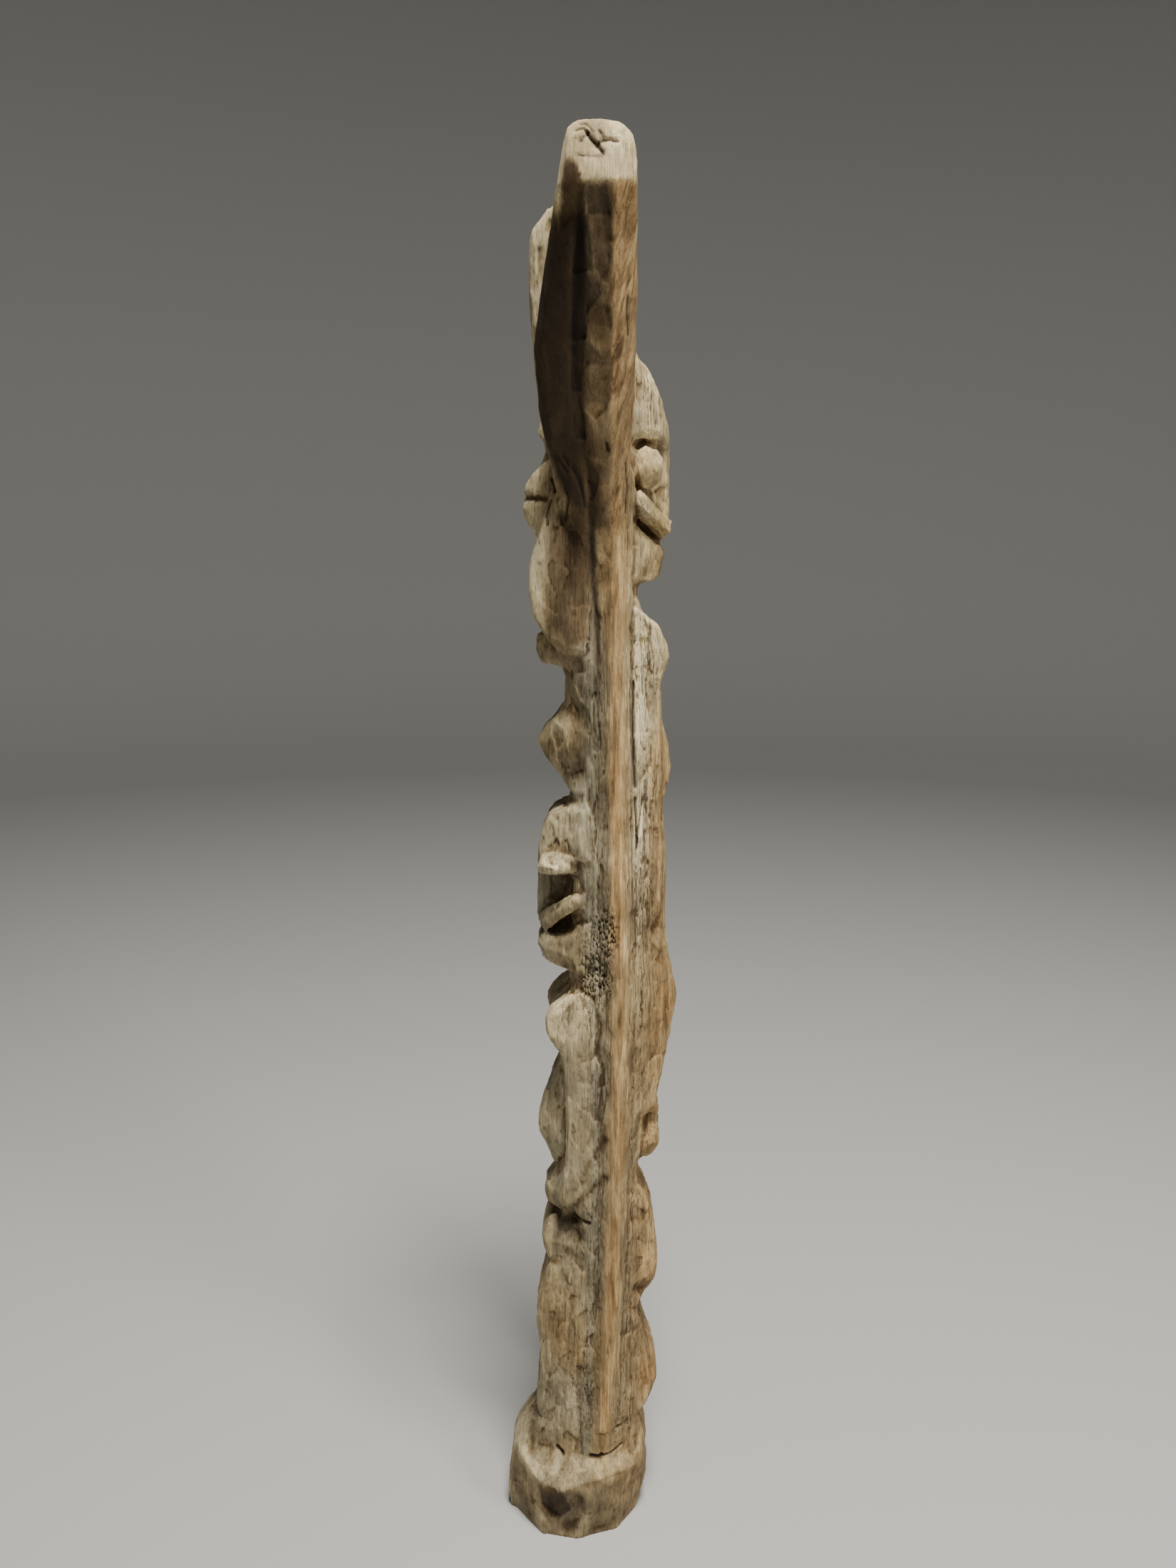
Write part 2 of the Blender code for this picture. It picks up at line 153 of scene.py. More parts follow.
# Places on the log, in millimetres. The grain follows the log's bowed middle line. The smooth
# ridge on the viewer's side wanders a little between two darker, rougher strips, from the foot up
# to the prow.
BOW = [(0, 5), (60, 6), (110, 7), (174, 9.5), (262, 14), (352, 15), (440, 10), (505, 8), (600, 5)]
RIDGE_MIDDLE = [(30, 10.5), (60, 11.5), (110, 14.3), (180, 17), (270, 18), (340, 16.6), (400, 16),
                (450, 15.2), (486, 15), (600, 15)]
RIDGE_HALF = [(0, 5.4), (400, 5.4), (450, 7.2), (486, 8.2), (600, 8.2)]
RIDGE_FOOT, RIDGE_TOP = 38, 486
LEFT_STRIP = [(0, 2.5), (240, 2.5), (262, 5.5), (340, 6.0), (352, 5.0), (415, 5.0), (430, 1.5),
              (600, 1)]
RIGHT_STRIP = 6
FOOT_TOP = 48
PROW_ROOT = 440


def along(stations, z):
    """Value at height z, straight between (height, value) stations."""
    heights, values = zip(*stations)
    return np.interp(z, heights, values)


def rise(value, start, over):
    """0 up to the start, and from there straight up to 1 over the given length."""
    return np.clip((value - start) / over, 0, 1)


def fall(value, end, over):
    """1 at first, then straight down over the given length to 0 at the end."""
    return np.clip((end - value) / over, 0, 1)


def bell(distance, reach):
    """1 at no distance, falling smoothly to nothing at about twice the reach."""
    return np.exp(-((distance / reach) ** 2))


def read_skin():
    """Positions, in millimetres, and normals of the skin."""
    count = len(pillar.data.vertices)
    place, facing = np.empty(count * 3), np.empty(count * 3)
    pillar.data.vertices.foreach_get("co", place)
    pillar.data.vertices.foreach_get("normal", facing)
    return place.reshape(-1, 3) / MM, facing.reshape(-1, 3)


place, _ = read_skin()
x, y, z = place.T
grain_x = along(BOW, z)
across_ridge = x - along(RIDGE_MIDDLE, z)
on_front = fall(y, -12, 6)
below_prow = fall(z, RIDGE_TOP, 25) * rise(z, RIDGE_FOOT, 8)
ridge_half = along(RIDGE_HALF, z)
ridge_mask = bell(across_ridge, ridge_half) ** 1.5 * on_front * below_prow
strip_wide = np.where(across_ridge < 0, along(LEFT_STRIP, z), RIGHT_STRIP)
strip_away = np.abs(across_ridge) - ridge_half - 1.5 - strip_wide / 2
strips = np.clip(bell(strip_away, 0.3 + strip_wide), 0, 1) * on_front * below_prow
foot_mask = fall(z, FOOT_TOP, 8)
prow_mask = fall(y, -27.5, 4) * rise(z, PROW_ROOT, 20)


# Knife cuts: flat strokes of the blade. Each takes off what stands above its plane, within its
# reach across and along the grain; most are mirrored to the far flank, which the carver matched.
DEEPEST_CUT = 5
OTHER_FORM = 8  # wood standing this high above a stroke belongs to another form and is spared


def write_skin(place):
    """The skin goes to its new place, and no point goes below the ground."""
    place[:, 2] = np.maximum(place[:, 2], 0)
    pillar.data.vertices.foreach_set("co", (place * MM).ravel())
    pillar.data.update()


def unit(vector):
    """The same direction, at length 1."""
    return np.array(vector, float) / np.linalg.norm(vector)


def pare(place, middle, toward, across, tall, both):
    """Cuts the skin down to the plane through the middle point that faces the given way."""
    for side in (-1, 1) if both else (-1,):
        flip = np.array((1, -side, 1))
        point, face = np.array(middle, float) * flip, unit(toward) * flip
        level = unit(np.cross((0, 0, 1), face))
        steep = np.cross(face, level)
        away = place - point
        above = away @ face
        reach = np.hypot(away @ level / across, away @ steep / tall)
        taken = np.clip(above, 0, DEEPEST_CUT) * (above < OTHER_FORM)
        taken *= fall(reach, 1.3, 0.5)
        place -= taken[:, None] * face


for middle, toward, across, tall, both in (
    # The prow's end, then its underside from the end inwards, then its right edge.
    ((-3.2, -72.3, 577), (-0.42, -0.62, -0.62), 8, 14, False),
    ((-6.2, -69.5, 580), (-0.88, -0.38, 0.22), 6, 14, False),
    ((4, -74.5, 588), (0.0, -1.0, 0.08), 20, 22, False),
    ((8, -71.2, 572.5), (-0.05, -0.88, -0.47), 6, 8, False),
    ((8.4, -65.8, 560), (-0.18, -0.93, -0.32), 5, 6, False),
    ((8.2, -60.9, 547.5), (0.0, -0.95, -0.28), 5, 6, False),
    ((7.8, -56.0, 535.5), (-0.22, -0.91, -0.34), 6, 7, False),
    ((9.0, -50.3, 521), (0.0, -0.87, -0.48), 5, 6, False),
    ((7.6, -45.4, 508), (-0.16, -0.94, -0.30), 6, 9, False),
    ((16.5, -62.0, 553), (0.62, -0.74, -0.27), 6, 14, False),
    ((17.0, -50.0, 525), (0.66, -0.70, -0.27), 6, 16, False),
    # The left row of figures, downwards.
    ((-8.5, -13.0, 379), (-0.56, -0.72, 0.34), 16, 12, True),
    ((-8.5, -12.6, 369), (-0.60, -0.74, -0.30), 16, 12, True),
    ((-12.0, -9.0, 386), (-0.70, -0.40, 0.60), 10, 10, True),
    ((-5.0, -22.0, 252), (-0.22, -0.95, 0.16), 12, 20, True),
    ((-12.5, -6.2, 215), (-0.62, -0.76, 0.20), 9, 15, True),
    ((-12.5, -6.0, 189), (-0.60, -0.74, -0.28), 9, 13, True),
    ((-6.0, -18.3, 133), (-0.44, -0.86, 0.24), 12, 9, True),
    ((-8.5, -19.0, 112), (-0.38, -0.92, 0.05), 9, 22, True),
    ((-6.5, -15.6, 147), (-0.36, -0.86, 0.36), 10, 7, True),
    # The upper corners of the prow's end.
    ((18.6, -71.5, 595.5), (0.62, -0.30, 0.72), 7, 7, False),
    ((-1.8, -71.5, 596.5), (-0.62, -0.36, 0.70), 7, 7, False),
    # The right row, and strokes beside the two heads.
    ((30.5, -11.8, 150), (0.55, -0.83, 0.06), 9, 18, True),
    ((32.5, -9.5, 122), (0.52, -0.72, -0.46), 9, 7, True),
    ((32.0, -11.2, 86), (0.68, -0.72, 0.08), 8, 20, True),
    ((31.0, -18.9, 418), (0.32, -0.93, 0.16), 10, 12, True),
    ((31.0, -11.2, 512), (0.55, -0.82, 0.14), 9, 18, True),
    ((-8.5, -14.8, 338), (-0.62, -0.76, 0.16), 9, 9, True),
    ((-9.0, -13.6, 279), (-0.52, -0.78, -0.35), 10, 7, True),
    ((31.0, -10.8, 450), (0.55, -0.80, -0.22), 9, 8, True),
    ((-9.0, -15.5, 317.4), (0.0, -0.25, -0.97), 10, 8, True),
    ((-9.5, -19.3, 322.5), (-0.25, -0.72, 0.65), 10, 7, True),
    # The foot: its sloping top, then its front.
    ((-11, -23.4, 34.0), (-0.20, -0.60, 0.77), 18, 16, False),
    ((13, -22.6, 35.0), (0.18, -0.60, 0.78), 18, 16, False),
    ((-25, -18.0, 17), (-0.72, -0.69, -0.06), 14, 20, False),
    ((-11.5, -26.9, 17.5), (-0.36, -0.86, -0.36), 7, 9, False),
    ((-4.5, -27.6, 15.5), (0.10, -0.98, -0.18), 8, 12, False),
    ((9.5, -26.8, 15.5), (0.26, -0.95, -0.16), 14, 16, False),
    ((23.5, -17.6, 15), (0.80, -0.58, -0.14), 9, 18, False),
):
    pare(place, middle, toward, across, tall, both)
write_skin(place)


# The foot's top. The carver ended the trunk in a round foot and sloped its top down to a blunt
# edge with the same knife, so a fine dark line is all that parts the two.
FOOT_EDGE = [(-24, -21.6, 30.8), (-17, -26.6, 28.9), (-7.7, -30.2, 26.1), (-0.6, -29.6, 29.6),
             (9.6, -28.6, 31.5), (20, -24.6, 32.7), (28, -17.8, 31.3)]
TRUNK_FRONT = [(-24, -15.0), (-16, -17.0), (-10, -20.5), (-4, -22.6), (2, -23.6), (8, -24.6),
               (14, -24.2), (20, -19.8), (26, -15.6)]  # (x, y) where the trunk meets the foot
TRUNK_END = 41
edge_x, edge_y, edge_z = zip(*FOOT_EDGE)


def settle(values, rounds):
    """Averages each point with its neighbours some times over."""
    edges = np.empty(len(pillar.data.edges) * 2, np.int64)
    pillar.data.edges.foreach_get("vertices", edges)
    a, b = edges.reshape(-1, 2).T
    size = len(values)
    columns = values.astype(float).reshape(size, -1).copy()
    count = np.maximum(np.bincount(a, minlength=size) + np.bincount(b, minlength=size), 1)
    for _ in range(rounds):
        for index in range(columns.shape[1]):
            column = columns[:, index]
            total = np.bincount(a, column[b], size) + np.bincount(b, column[a], size)
            columns[:, index] = 0.3 * column + 0.7 * total / count
    return columns.reshape(values.shape)


def dress_foot(place):
    """Fills the carved notch over the foot, and cuts the foot's top down to one slope."""
    x, y, z = place.T
    over = z - TRUNK_END
    lip_y, lip_z = np.interp(x, edge_x, edge_y), np.interp(x, edge_x, edge_z)
    share = np.clip(-over / (TRUNK_END - lip_z), 0, 1)
    trunk = along(TRUNK_FRONT, x) - 0.14 * np.clip(over, 0, 20) * bell(x - 10, 8)
    moved = trunk + share * (lip_y - trunk) - y
    moved = np.where(over > 0, np.minimum(moved, 0), np.clip(moved, -9, 2))
    moved *= fall(z, 54, 3) * np.clip((z - lip_z + 0.6) / 0.6, 0, 1)
    moved *= rise(x, -22, 3) * fall(x, 27, 3)
    place[:, 1] += moved * fall(y, -6, 2)
    write_skin(place)


dress_foot(place)
root_band = bell(place[:, 2] - 46, 7.0) * fall(place[:, 1], 0, 10)
for _ in range(2):
    place = read_skin()[0]
    dress_foot(place + root_band[:, None] * (settle(place, 14) - place))


# Knife facets: between the placed cuts the whole skin is a patchwork of short strokes, each one
# nearly flat, a little turned against its neighbours and a little different in tone.
CELL_KEY = (1, 1009, 1009 * 1009)  # turns the three numbers of a cell into one


def off_ground(place):
    """0 on the sawn underside, which stays flat, and 1 from a few millimetres up."""
    return rise(place[:, 2], 0.4, 3)


def facets(place, steps, seed):
    """Number of the stroke that each point belongs to, from a jittered set of points."""
    stretched = place / np.array(steps)
    keys = np.floor(stretched + seed).astype(np.int64) @ np.array(CELL_KEY)
    order = np.random.default_rng(seed).permutation(len(keys))
    _, first = np.unique(keys[order], return_index=True)
    middles = kdtree.KDTree(len(first))
    for number, point in enumerate(stretched[order[first]].tolist()):
        middles.insert(point, number)
    middles.balance()
    return np.array([middles.find(point)[1] for point in stretched.tolist()]), len(first)


def flatten(steps, seed, strength, most, turn):
    """Presses each stroke's points toward its own slightly turned plane, and gives its tone."""
    place, facing = read_skin()
    soft = settle(facing, 6)
    owner, count = facets(place, steps, seed)
    share = np.maximum(np.bincount(owner, minlength=count), 1)
    middle, plane = (
        np.stack([np.bincount(owner, values[:, i], count) for i in range(3)], 1)
        for values in (place, soft)
    )
    middle /= share[:, None]
    plane += share[:, None] * np.random.default_rng(seed + 50).normal(0, turn, (count, 3))
    plane /= np.maximum(np.linalg.norm(plane, axis=1), 1e-9)[:, None]
    above = ((place - middle[owner]) * plane[owner]).sum(1)
    moved = strength * np.clip(above, -most, most) * off_ground(place)
    write_skin(place - moved[:, None] * plane[owner])
    return np.random.default_rng(seed + 90).uniform(0, 1, count)[owner]


def viewer_side(place):
    """1 on the viewer's side of the log, 0 behind."""
    return np.clip(-place[:, 1] / 8 + 0.4, 0, 1)


def patch(place, x, z, wide, tall):
    """A soft oval patch on the viewer's side."""
    oval = ((place[:, 0] - x) / wide) ** 2 + ((place[:, 2] - z) / tall) ** 2
    return np.exp(-oval) * viewer_side(place)


heads = np.clip(patch(place, 30, 475, 14, 45) + patch(place, -10, 305, 12, 40), 0, 1)
broad = np.clip(prow_mask + foot_mask, 0, 1)
small_tone = flatten(
    steps=(6.8, 6.8, 13), seed=3, most=0.5, turn=0.065,
    strength=0.65 * (1 - 0.95 * ridge_mask) * (1 - broad),
)
broad_tone = flatten(
    steps=(8, 8, 13), seed=8, most=0.6, turn=0.05,
    strength=(0.3 * prow_mask + 0.25 * foot_mask) * (1 - heads),
)
facet_tone = small_tone * (1 - broad) + broad_tone * broad


# Chips under the prow: there the carver's flat strokes overlap like scales. Each is a shallow step
# in the wood, deepest at its lower end, and is painted lighter or darker (-1 to 1) as painted light
# and shade.
CHIP_DEPTH, CHIP_SLOPE, CHIP_DEEPEST = 0.35, 0.05, 0.8


def move_skin(amount):
    """Moves each point along its normal by some millimetres, but not on the underside."""
    place, facing = read_skin()
    amount = amount * off_ground(place)
    write_skin(place + facing * amount[:, None])


def within(place, corners, soft):
    """1 inside the bulging outline through the (x, z) corners, on the viewer's side."""
    share = viewer_side(place)
    pairs = list(zip(corners, corners[1:] + corners[:1]))
    turn = math.copysign(1, sum(x1 * z2 - x2 * z1 for (x1, z1), (x2, z2) in pairs))
    for (x1, z1), (x2, z2) in pairs:
        away = turn * ((x2 - x1) * (place[:, 2] - z1) - (z2 - z1) * (place[:, 0] - x1))
        share = share * np.clip(away / math.hypot(x2 - x1, z2 - z1) / soft + 0.5, 0, 1)
    return share


place, _ = read_skin()
chip_light_and_shade = np.zeros(len(place))
for tone, corners in (
    (0.7, [(-1.8, 585.7), (2.1, 582.2), (2.6, 576.6), (0, 569.9), (-5.6, 565.4), (-6.8, 572.2),
           (-4.3, 580.6)]),
    (-0.9, [(3.6, 577.2), (10.9, 577.2), (12.3, 568.6), (4.1, 568.9)]),
    (-0.8, [(1.0, 569), (4.8, 569), (6.1, 551.6), (-1.5, 551.6)]),
    (-0.7, [(-1.5, 551.6), (5.6, 551.6), (3.5, 530), (-2, 530)]),
    (-0.55, [(-2, 530), (3.5, 530), (1.5, 513), (-2.5, 513)]),
    (-0.3, [(-2.5, 513), (1.5, 513), (3.2, 496), (-0.5, 496)]),
    (-0.45, [(5.5, 568.7), (12.3, 568.6), (12.6, 560.6), (9.6, 559.7), (6.1, 564.1)]),
    (-0.25, [(5.6, 562.4), (7.6, 564.1), (12.6, 559.1), (12.4, 553.2), (6.6, 552)]),
    (-0.5, [(7.6, 552), (12.2, 552.6), (11.2, 548.2), (9.4, 548.9)]),
    (-0.8, [(3.5, 550.8), (8.6, 548.2), (9.4, 544.4), (6.1, 540.9), (3.5, 538.5)]),
    (0.4, [(9.7, 548.4), (12.7, 552.3), (13.3, 540.3), (10.8, 538.1), (9.7, 543.7)]),
    (0.05, [(6.1, 540.5), (9.7, 543.5), (12.8, 538.1), (12.9, 533.3), (3.5, 535.8)]),
    (0.4, [(3.5, 534.9), (12.9, 532.3), (13, 526.5), (9.6, 524.7), (5.6, 529.1)]),
    (-0.4, [(3.5, 529.4), (6.1, 528.1), (9.6, 524.2), (10.4, 521.4), (3.5, 521.9)]),
    (-0.1, [(3.5, 521.9), (9.6, 521.4), (12.5, 517), (12.9, 511), (11, 506.1), (7, 503),
            (3.5, 506.5), (1.3, 513.2)]),
    (0.45, [(1.9, 510.8), (7, 508.9), (11.8, 508.3), (10, 503.4), (6.5, 502.5), (2.9, 506.3)]),
    (0.1, [(3.5, 501.8), (12.4, 502.4), (12.8, 489.7), (10.1, 487.1), (4, 490.5)]),
    (-0.5, [(4, 487.4), (10.1, 485.8), (6.3, 474.1), (5.1, 476.8)]),
):
    share = within(place, corners, 0.6)
    middle = sum(z for _, z in corners) / len(corners)
    chip_light_and_shade += share * (tone - chip_light_and_shade)
    slope = CHIP_SLOPE * (place[:, 2] - middle)
    move_skin(-share * np.clip(CHIP_DEPTH - slope, 0, CHIP_DEEPEST))


# The ridge's two furrows, and the grain: long fissures follow the log's bow where the skin has
# weathered, deepest on the strips on either side of the ridge.
FURROW_DEPTH, FISSURE_DEPTH = 1.3, 0.85

chance = np.random.default_rng(11)
GRAIN_KEYS = chance.permutation(256)
GRAIN_LEANS = chance.normal(size=(256, 3))
GRAIN_LEANS *= 1.2 / np.linalg.norm(GRAIN_LEANS, axis=1)[:, None]


def spread(points, step):
    """Smooth noise, about -0.7 to 0.7, that wanders over (x, y, z) steps in millimetres."""
    scaled = points / np.array(step) + 300
    corner = np.floor(scaled).astype(np.int64)
    inside = scaled - corner
    eased = inside**3 * (inside * (inside * 6 - 15) + 10)
    total = np.zeros(len(points))
    for dx, dy, dz in np.ndindex(2, 2, 2):
        keys = GRAIN_KEYS[(corner[:, 0] + dx) & 255]
        keys = GRAIN_KEYS[(keys + corner[:, 1] + dy) & 255]
        keys = GRAIN_KEYS[(keys + corner[:, 2] + dz) & 255]
        lean = (GRAIN_LEANS[keys] * (inside - (dx, dy, dz))).sum(1)
        share = np.ones(len(points))
        for axis, step_in in enumerate((dx, dy, dz)):
            share *= eased[:, axis] if step_in else 1 - eased[:, axis]
        total += share * lean
    return total


place, facing = read_skin()
z = place[:, 2]
sway = spread(place, (24, 24, 34))
wavy = spread(place, (40, 40, 30))
left_furrow = bell(across_ridge + ridge_half + 2.0 + 1.2 * sway, 1.4) * on_front * below_prow
left_furrow *= np.clip((z - 395) / 25, 0.08, 1)
right_furrow = bell(across_ridge - ridge_half - 1.2 + 1.2 * sway, 0.7) * on_front * below_prow
right_furrow *= np.clip((z - 320) / 60, 0.25, 1)
furrows = left_furrow * (0.9 + wavy) + 0.8 * right_furrow * (0.9 + wavy)
grain = place.copy()
grain[:, 0] -= grain_x
grain[:, 0] += 1.6 * sway
curls = [spread(place + shift, (5, 5, 9)) for shift in (7, 31)]
grain += 0.7 * np.stack([*curls, sway], 1)
fine_lines = np.abs(spread(grain, (1.3, 1.3, 34)))
long_lines = np.abs(spread(grain + 40, (3.4, 3.4, 70)))
weathered = np.clip(0.10 + 0.65 * strips + 0.7 * spread(place + 90, (14, 14, 30)), 0.03, 1.1)
weathered = np.clip(weathered + 0.5 * patch(place, 30, 515, 10, 20), 0, 1.1)
weathered *= (1 - 0.85 * ridge_mask) * (1 - 0.8 * prow_mask) * (1 - 0.5 * foot_mask)
lengthwise = np.sqrt(np.clip(1 - facing[:, 2] ** 2, 0, 1))
fissures = np.clip(1 - fine_lines / 0.08, 0, 1) * 0.45 + np.clip(1 - long_lines / 0.05, 0, 1)
fissures *= weathered * lengthwise
move_skin(-FISSURE_DEPTH * fissures - FURROW_DEPTH * furrows)


# Rough patches: worm-eaten knots beside the ridge, torn corners round the prow's end, and wood
# left coarse by the knife everywhere but on the rubbed ridge, most of all round the foot.
HOLE_DEPTH = 1.5
END_Y = -75  # the prow's end

place, _ = read_skin()
knots = patch(place, 12.5, 294, 4.5, 9) + patch(place, 8, 272, 6, 7)
knots += 0.25 * patch(place, 5, 285, 6, 20)
knots += 0.2 * patch(place, 1, 75, 8, 25)
crumbs = np.abs(spread(grain, (1.1, 1.1, 2.0)) + 0.5 * spread(grain + 60, (2.6, 2.6, 4.5)))
holes = np.clip(knots, 0, 1) * np.clip(1.1 - crumbs / 0.16, 0, 1)
chipped = bell(place[:, 1] - END_Y, 4) * rise(place[:, 2], 586, 5)
coarse = spread(place, (5.5, 5.5, 8))
tiny = spread(place, (1.3, 1.3, 2.0))
unrubbed = 1 - 0.6 * np.clip(ridge_mask + 0.6 * prow_mask, 0, 1)
move_skin(
    -HOLE_DEPTH * holes + (0.6 * foot_mask + 0.28) * coarse * unrubbed + 1.2 * chipped * coarse
    + (0.26 + 0.5 * chipped) * tiny * unrubbed
)


# Cracks: the star at the prow's end, where the pith dried out, and splits that opened along and
# across the grain. Each is a run of points with its width and depth, placed as the viewer sees
# it, so a point of the skin may lie a little before or behind its run.
BEFORE_OR_BEHIND = 3


def crack(run, width, depth):
    """Cuts one crack, and gives how near to its middle line each point lies."""
    place, _ = read_skin()
    nearest = np.full(len(place), 1e9)
    ends = np.array(run, float)
    for start, end in zip(ends, ends[1:]):
        step = (end - start) * (1, 0, 1)
        share = np.clip((place - start) @ step / (step @ step), 0, 1)
        away = place - (start + share[:, None] * (end - start))
        away[:, 1] = np.maximum(np.abs(away[:, 1]) - BEFORE_OR_BEHIND, 0)
        nearest = np.minimum(nearest, np.linalg.norm(away, axis=1))
    sharp = np.clip(1 - nearest / width, 0, 1)
    move_skin(-depth * sharp)
    return sharp**0.6


# Wide grooves, which are left in the wood's own colour.
for run, width, depth in (
    ([(1.0, -67.8, 569.4), (-0.6, -58.8, 547.9), (-1.3, -50.7, 527.2), (-0.8, -48, 520),
      (0.2, -44.4, 510.3), (2.4, -42, 503.3), (2.9, -38.4, 492.6), (4.3, -35.5, 483.4),
      (5.7, -34.3, 476.8), (7.4, -30.4, 463.2)], 2.4, 0.9),
    ([(-12, -17, 164), (-8, -18.5, 162.5), (-3, -20.5, 160)], 3.0, 2.2),
    ([(-23, -7, 476.5), (-19, -8.5, 476), (-14, -12, 475.4)], 2.2, 1.5),
    ([(12, -24, 181), (4, -23.6, 171), (-4, -22.6, 162.5)], 3.2, 0.9),
    ([(12, -24, 199), (5, -23.6, 186), (-1, -22.9, 174)], 3.0, 0.7),
    ([(0, -22.3, 267), (6.5, -23, 263.5), (9.5, -24, 251), (8, -24, 238)], 1.6, 0.9),
):
    crack(run, width, depth)

# Narrow cracks, painted dark inside as painted shade.
cracks = np.zeros(len(place))
for run, width, depth in (
    ([(0.2, END_Y, 595.2), (2.7, END_Y, 595.6), (4, END_Y, 593.7), (1.9, END_Y, 591.3)], 0.65, 0.9),
    ([(4, END_Y, 593.7), (6.1, END_Y, 591), (7.7, END_Y, 589.2), (9.5, END_Y, 587.2)], 0.95, 1.5),
    ([(7.7, END_Y, 590.4), (9.1, END_Y, 591), (12, END_Y, 591.6), (14.7, END_Y, 591.2)], 0.65, 0.8),
    ([(1.2, END_Y, 597.5), (3.4, END_Y, 597.2), (5.2, END_Y, 595.6), (6.0, END_Y, 594)], 0.55, 0.6),
    ([(8, END_Y, 594.6), (9.6, END_Y, 592.6), (9.2, END_Y, 591)], 0.55, 0.5),
    ([(0.6, END_Y, 586.7), (3.6, END_Y, 585.9), (7.7, END_Y, 585.9), (9.6, END_Y, 585.9)],
     0.5, 0.3),
    ([(23.2, -22.4, 401), (23.0, -23.0, 388), (23.4, -22.7, 372), (24.2, -22.5, 357)], 0.8, 1.5),
    ([(24.2, -22.4, 352), (24.8, -22, 342), (25.2, -21.8, 330)], 0.7, 1.2),
    ([(-8.5, -33.2, 491), (-6.6, -33.5, 488.2), (-4.1, -33.2, 484.5)], 0.7, 0.9),
    ([(-5.4, -34.7, 490.3), (-3.5, -34.4, 487.1)], 0.7, 0.9),
    ([(-10.6, -16, 483), (-9.2, -23.2, 477.5)], 0.8, 1.1),
    ([(-1.8, -34.8, 486.2), (0.7, -34.3, 481.6), (1.8, -33.2, 476.8), (2.9, -31.7, 470.9)],
     1.0, 1.0),
    ([(-11, -21.8, 474.3), (-12.7, -21.8, 468.6), (-12.1, -22.4, 464.9)], 0.8, 1.0),
    ([(-5.6, -31.1, 480.8), (-3.6, -29.7, 474.3), (-4.9, -23.8, 466.3)], 0.7, 0.9),
    ([(11.4, -42.1, 494.3), (12, -41, 491.8)], 0.8, 1.2),
    ([(4.6, -34.8, 480.8), (7.4, -35.8, 478.5), (5.7, -33.5, 474.1)], 0.7, 0.8),
    ([(19.1, -33.4, 487.7), (19.9, -30, 479), (19.4, -28.2, 468.9)], 0.55, 0.6),
    ([(18.9, -56.1, 545), (18.6, -54.2, 539), (19.3, -50.9, 532.2)], 0.5, 0.4),
    ([(-10, -20.6, 42.5), (-8, -21.6, 41), (-7.4, -22.4, 40)], 1.2, 1.6),
    ([(5.5, -24.5, 41), (9.5, -24.8, 40.6), (10.5, -24.8, 41.6)], 1.2, 1.8),
    ([(10.5, -24.8, 41.2), (15, -23.4, 41.8), (20, -19.6, 43.4)], 0.7, 1.0),
    ([(0, -21.3, 158.5), (2.4, -22.6, 157.6), (4.9, -23, 157.4)], 0.9, 1.6),
):
    cracks = np.maximum(cracks, crack(run, width, depth))


# Tones of the wood, painted as shares per point: weathered grey, rubbed orange, browner wood that
# is partly stain and partly painted shade, paler wood with painted light, and painted shade in the
# hollows with painted highlight on the edges, by how deep in or how far out each point lies. Hands
# rubbed the ridge.
def patches(*ovals):
    """Sum of soft patches on the viewer's side, each as (share, x, z, wide, tall)."""
    return sum(share * patch(place, *oval) for share, *oval in ovals)


place, facing = read_skin()
x, y, z = place.T
hollow_wide = ((settle(place, 50) - place) * facing).sum(1)
hollow_fine = ((settle(place, 5) - place) * facing).sum(1)

end_left = fall(x, -3.2 - (586 - z) * 0.14, 1.0) * rise(z, 566, 8)
end_edge = 578.5 + np.clip((2.6 - x) * 1.9, 0, 6.5) + 0.8 * sway
end_mask = np.maximum(rise(z, end_edge, 0.6), end_left) * prow_mask
end_mask *= rise(-y - 58 + 5 * wavy + 3 * sway, 0, 9)
right_chamfer = prow_mask * rise(x - 12.2 - 1.2 * sway, 0, 1.8)
left_of_groove = fall(x, 3.8, 1.2)
under_prow = np.clip((0.15 - settle(facing, 8)[:, 1]) / 0.4, 0.12, 1)
leaf = within(place, [(-12.5, 424), (-5, 414), (5, 417), (6, 468), (-9, 470), (-13, 455)], 3.5)
foot_lip = np.interp(x, edge_x, edge_z)
foot_front = np.clip((foot_lip - z) / 0.8 + 0.5, 0, 1) * (facing[:, 2] < 0.6)
scoop = within(place, [(-17.4, 15), (-11, 9.5), (-3.4, 15), (-7.7, 26.5), (-19, 28.0)], 0.6)
# The cavity over the left leg: its gap is painted dark as painted shade, with the cracks.
cavity = bell(x + 7, 6.5) * bell(z - 153.5, 4) * rise(y, -20, 3) * fall(y, 8, 5)

orange = ridge_mask * (0.85 + 0.5 * wavy) + 0.9 * right_chamfer * (1 - end_mask)
orange += patches((0.9, 41, 258, 5, 9), (0.7, 33, 133, 6, 9),
                  (0.6, 32, 75, 6, 16), (0.5, 33, 310, 5, 50))
orange += 0.45 * rise(across_ridge, 4, 8) * fall(z, 300, 60)
orange += 0.4 * rise(across_ridge, 11, 5) * bell(z - 350, 45)

